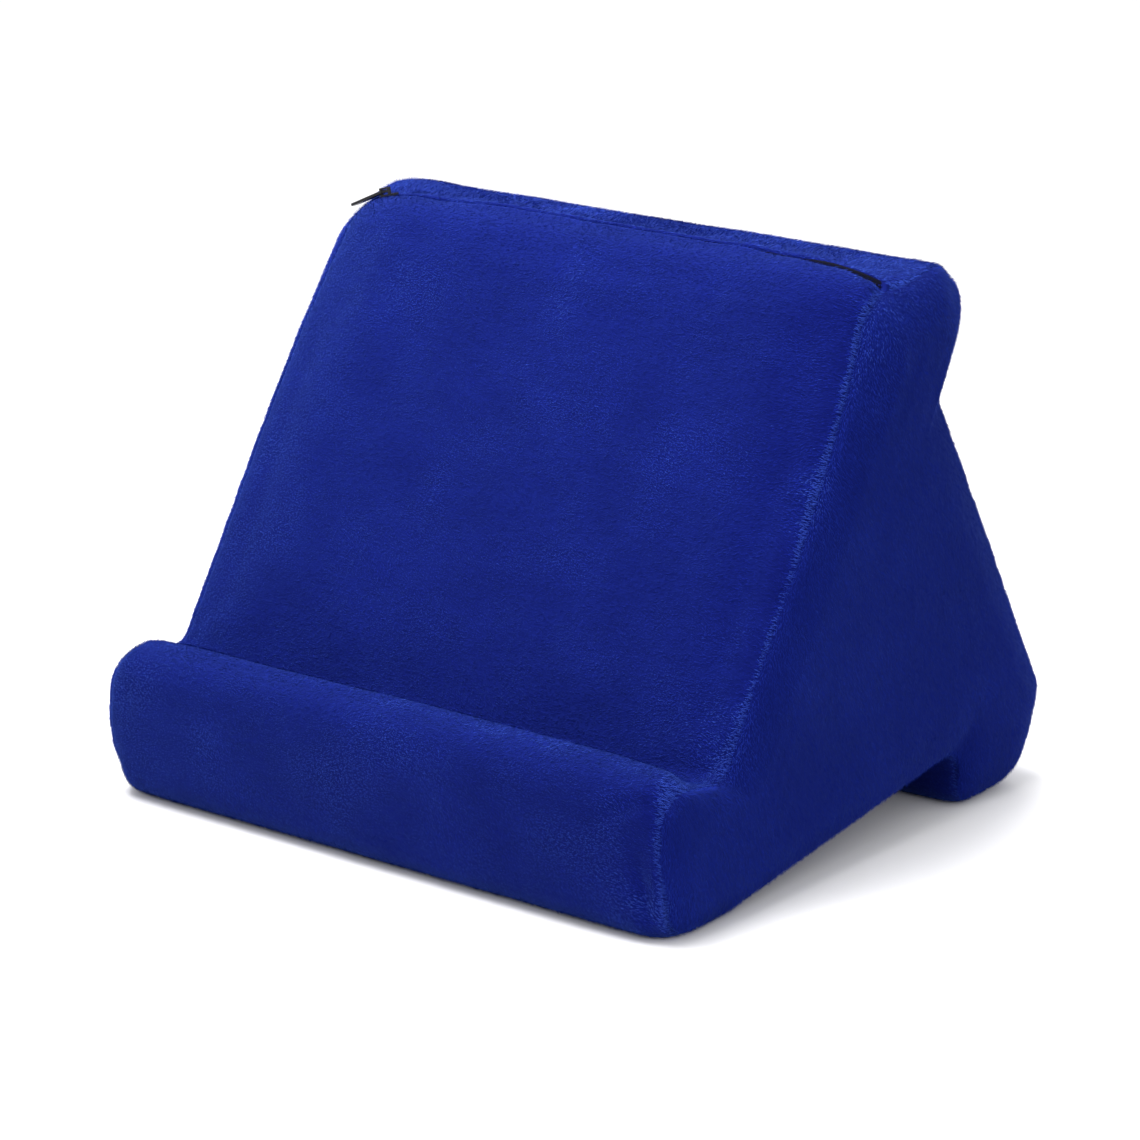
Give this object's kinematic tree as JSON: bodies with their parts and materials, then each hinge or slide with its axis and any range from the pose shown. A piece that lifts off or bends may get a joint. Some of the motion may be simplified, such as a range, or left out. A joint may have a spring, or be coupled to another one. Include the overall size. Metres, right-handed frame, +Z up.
{
  "type": "tablet pillow stand",
  "caption": "Plush foam-filled pillow stand, three-sided in profile like a pinwheel, with ledges that hold a tablet or book and a zipped top seam.",
  "frame": {"origin": "on the surface it stands on, under the middle of its box", "axes": "+X along its width to the right end, +Y from the lip to the back, +Z up"},
  "size_m": [0.293, 0.2754, 0.2357],
  "materials": {
    "plush": "short royal blue pile",
    "end_plush": "short royal blue pile",
    "zip": "dark nylon coil on dark tape",
    "zip_metal": "dark painted slider and pull"
  },
  "bodies": {
    "root": {"cushion": "plush", "end_panel_left": "end_plush", "end_panel_right": "end_plush", "zip_chain": "zip", "zip_slider": "zip_metal", "zip_pull": "zip_metal"}
  },
  "joints": []
}
